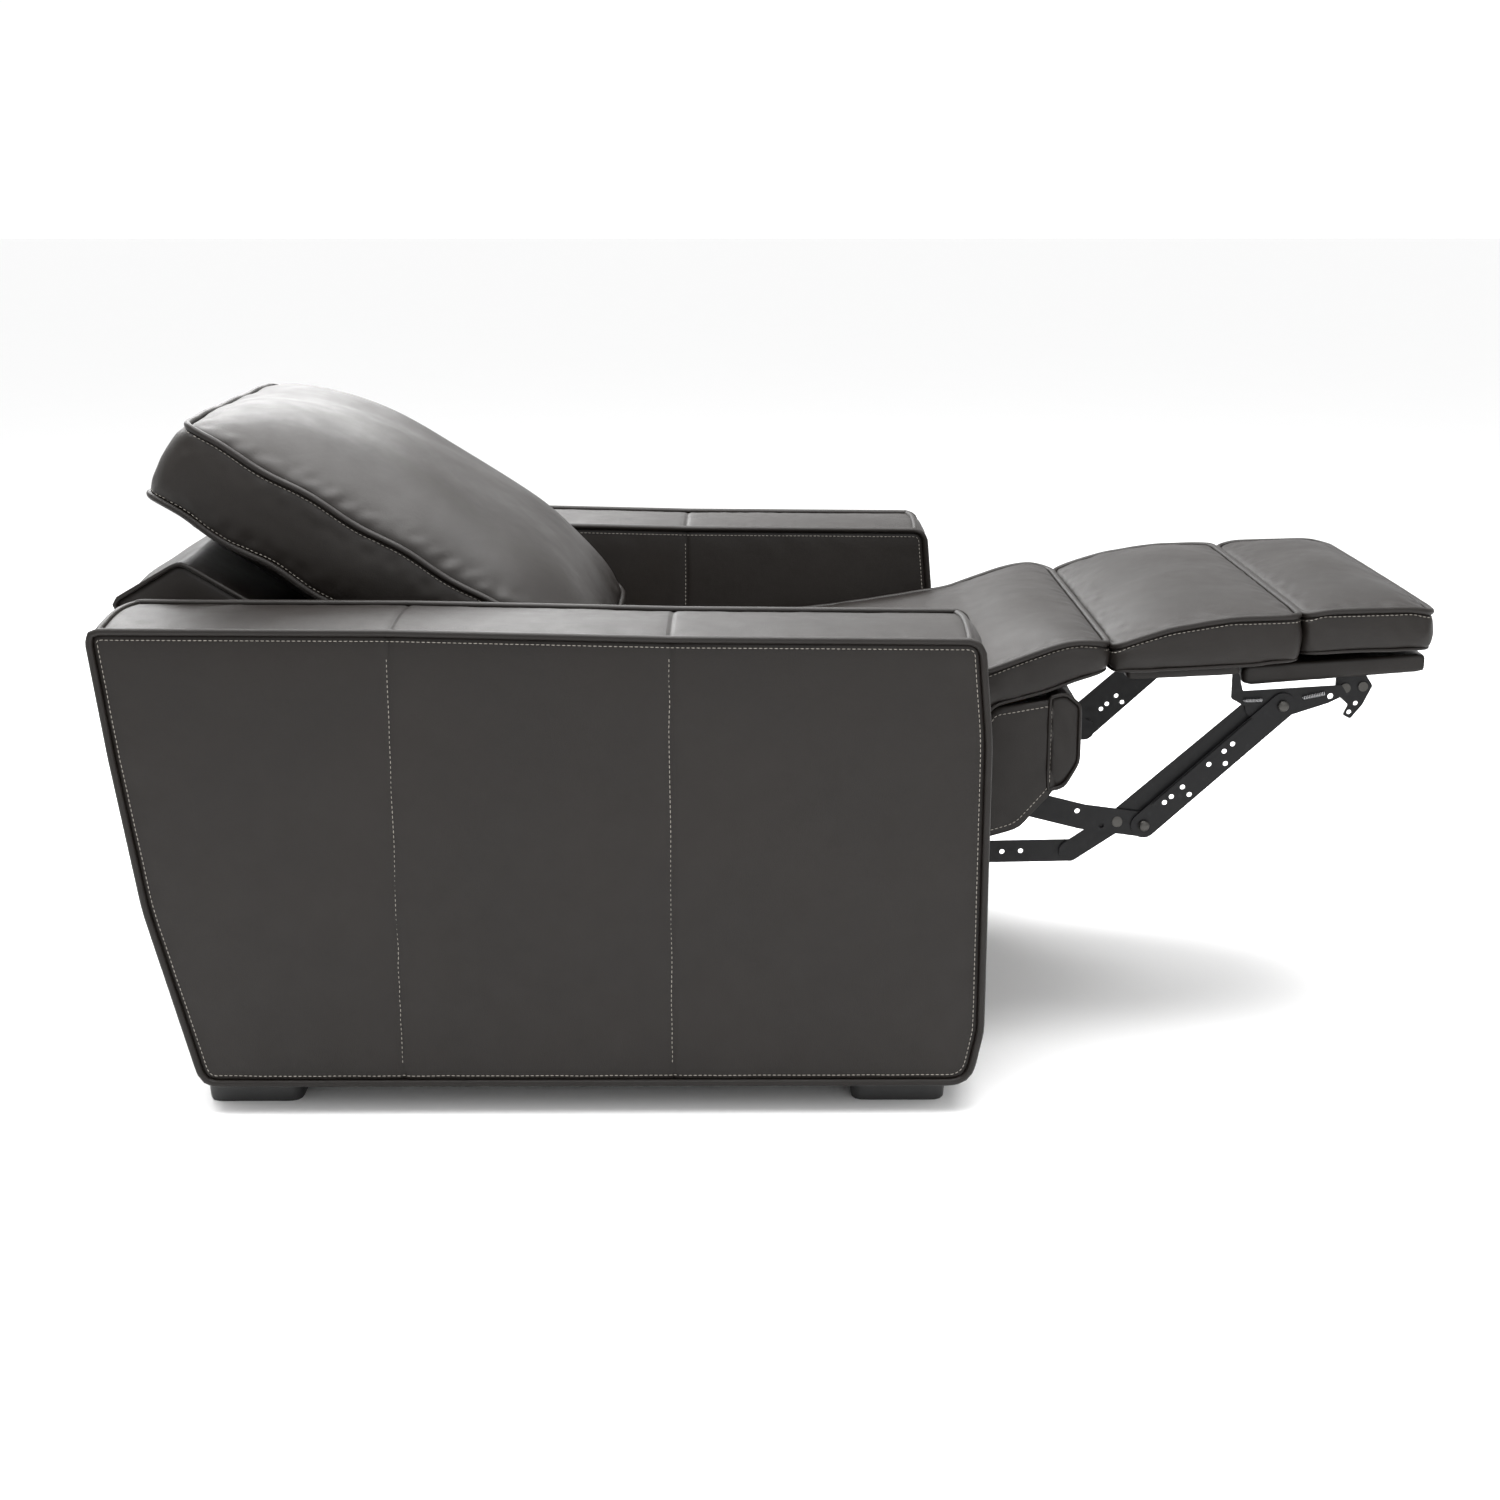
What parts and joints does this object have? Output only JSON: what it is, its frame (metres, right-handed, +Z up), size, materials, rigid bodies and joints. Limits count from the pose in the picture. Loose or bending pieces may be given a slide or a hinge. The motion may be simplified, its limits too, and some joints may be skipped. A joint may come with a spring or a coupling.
{
  "type": "recliner armchair",
  "caption": "Power recliner armchair with padded leather arms, a reclining pillow back and a chaise footrest on a scissor linkage.",
  "frame": {"origin": "on the floor at the middle of the chair's box, as it stands fully reclined with the footrest out", "axes": "+Z up, -Y towards the footrest, +X to the sitter's left"},
  "size_m": [1.06, 1.7149, 0.837],
  "materials": {
    "leather": "soft pebbled leather, satin",
    "timber": "sawn plywood and softwood",
    "foot_plastic": "moulded black",
    "frame_steel": "satin black coat",
    "zinc": "blackened rivets and pins",
    "spring_steel": "drawn wire",
    "nylon": "natural nylon",
    "rail_aluminium": "extruded",
    "motor_plastic": "textured housing",
    "switch_plastic": "fine texture",
    "button_plastic": "smooth"
  },
  "bodies": {
    "base": {"arm_cover_right": "leather", "arm_cover_left": "leather", "arm_frame_right": "timber", "arm_frame_left": "timber", "feet": "foot_plastic", "base_tube_front": "frame_steel", "base_tube_rear": "frame_steel", "base_end_plates_front": "frame_steel", "base_end_plates_rear": "frame_steel", "base_bolts_front": "zinc", "base_bolts_rear": "zinc", "rear_stretcher": "timber", "slide_tracks": "frame_steel", "switch_plate": "switch_plastic", "power_inlet": "switch_plastic"},
    "seat": {"seat_front_rail": "leather", "seat_side_rails": "leather", "seat_rear_rail": "timber", "seat_deck_rail": "timber", "seat_springs": "spring_steel", "seat_cushion": "leather", "knee_pad": "leather", "seat_side_plates": "frame_steel", "seat_plate_spacers": "zinc", "seat_pivot_pins": "zinc", "carriage_glides": "nylon", "seat_cross_tube": "frame_steel", "footrest_rail": "rail_aluminium", "footrest_motor": "motor_plastic", "recline_rail": "rail_aluminium", "recline_motor": "motor_plastic", "motor_brackets": "frame_steel"},
    "back": {"back_cover": "leather", "back_frame": "timber", "back_cushion": "leather", "back_brackets": "frame_steel", "back_torque_tube": "frame_steel", "back_crank": "frame_steel"},
    "footrest": {"calf_pad": "leather", "footrest_board": "timber", "footrest_brackets": "frame_steel", "footrest_springs": "spring_steel"},
    "extension": {"extension_board": "leather", "foot_pad": "leather", "extension_brackets": "frame_steel", "extension_rivets": "zinc"},
    "front_linkage": {"front_links": "frame_steel", "drive_tube": "frame_steel", "drive_crank": "frame_steel"},
    "toe_linkage": {"toe_links": "frame_steel", "toe_link_ribs": "frame_steel", "toe_link_rivets": "zinc"},
    "cross_linkage": {"cross_links": "frame_steel", "cross_link_pins": "zinc"},
    "drive_linkage": {"drive_links": "frame_steel"},
    "footrest_block": {"footrest_slide_block": "nylon"},
    "recline_block": {"recline_slide_block": "nylon"},
    "recline_button": {"button_recline": "button_plastic"},
    "footrest_button": {"button_footrest": "button_plastic"}
  },
  "joints": [
    {"name": "seat_slide", "type": "slide", "parent": "base", "child": "seat", "axis": [0, 1, 0], "range_m": [0, 0.16]},
    {"name": "back_recline", "type": "hinge", "parent": "seat", "child": "back", "pos_m": [0, 0.2764, 0.345], "axis": [1, 0, 0], "range_deg": [0, 40.02]},
    {"name": "footrest_fold", "type": "hinge", "parent": "seat", "child": "footrest", "pos_m": [0, -0.4366, 0.526], "axis": [1, 0, 0], "range_deg": [0, 88]},
    {"name": "extension_tuck", "type": "hinge", "parent": "footrest", "child": "extension", "pos_m": [0, -0.6186, 0.502], "axis": [1, 0, 0], "range_deg": [0, 15.02]},
    {"name": "front_link_swing", "type": "hinge", "parent": "seat", "child": "front_linkage", "pos_m": [0, -0.2586, 0.35], "axis": [1, 0, 0], "range_deg": [0, 87.56]},
    {"name": "toe_link_swing", "type": "hinge", "parent": "footrest", "child": "toe_linkage", "pos_m": [0, -0.6676, 0.465], "axis": [1, 0, 0], "range_deg": [-92.35, 0]},
    {"name": "cross_link_swing", "type": "hinge", "parent": "front_linkage", "child": "cross_linkage", "pos_m": [0, -0.4556, 0.305], "axis": [1, 0, 0], "range_deg": [-94.29, 0]},
    {"name": "drive_link_swing", "type": "hinge", "parent": "seat", "child": "drive_linkage", "pos_m": [0, -0.20389, 0.29], "axis": [1, 0, 0], "range_deg": [0, 93.5]},
    {"name": "footrest_block_slide", "type": "slide", "parent": "seat", "child": "footrest_block", "axis": [0, 1, 0], "range_m": [0, 0.0973]},
    {"name": "recline_block_slide", "type": "slide", "parent": "seat", "child": "recline_block", "axis": [0, 1, 0], "range_m": [0, 0.0552]},
    {"name": "recline_button_press", "type": "slide", "parent": "base", "child": "recline_button", "axis": [-1, 0, 0], "range_m": [0, 0.002], "stiffness_N_per_m": 600},
    {"name": "footrest_button_press", "type": "slide", "parent": "base", "child": "footrest_button", "axis": [-1, 0, 0], "range_m": [0, 0.002], "stiffness_N_per_m": 600}
  ],
  "couplings": [
    {"joint": "back_recline", "follows": "seat_slide", "rad_per_m": 4.3633},
    {"joint": "recline_block_slide", "follows": "seat_slide", "ratio": 0.34202},
    {"joint": "extension_tuck", "follows": "footrest_fold", "ratio": 0.17045},
    {"joint": "front_link_swing", "follows": "footrest_fold", "ratio": 0.99481},
    {"joint": "toe_link_swing", "follows": "footrest_fold", "ratio": -1.0492},
    {"joint": "cross_link_swing", "follows": "footrest_fold", "ratio": -1.0712},
    {"joint": "drive_link_swing", "follows": "footrest_fold", "ratio": 1.0623},
    {"joint": "footrest_block_slide", "follows": "footrest_fold", "m_per_rad": 0.063058}
  ]
}
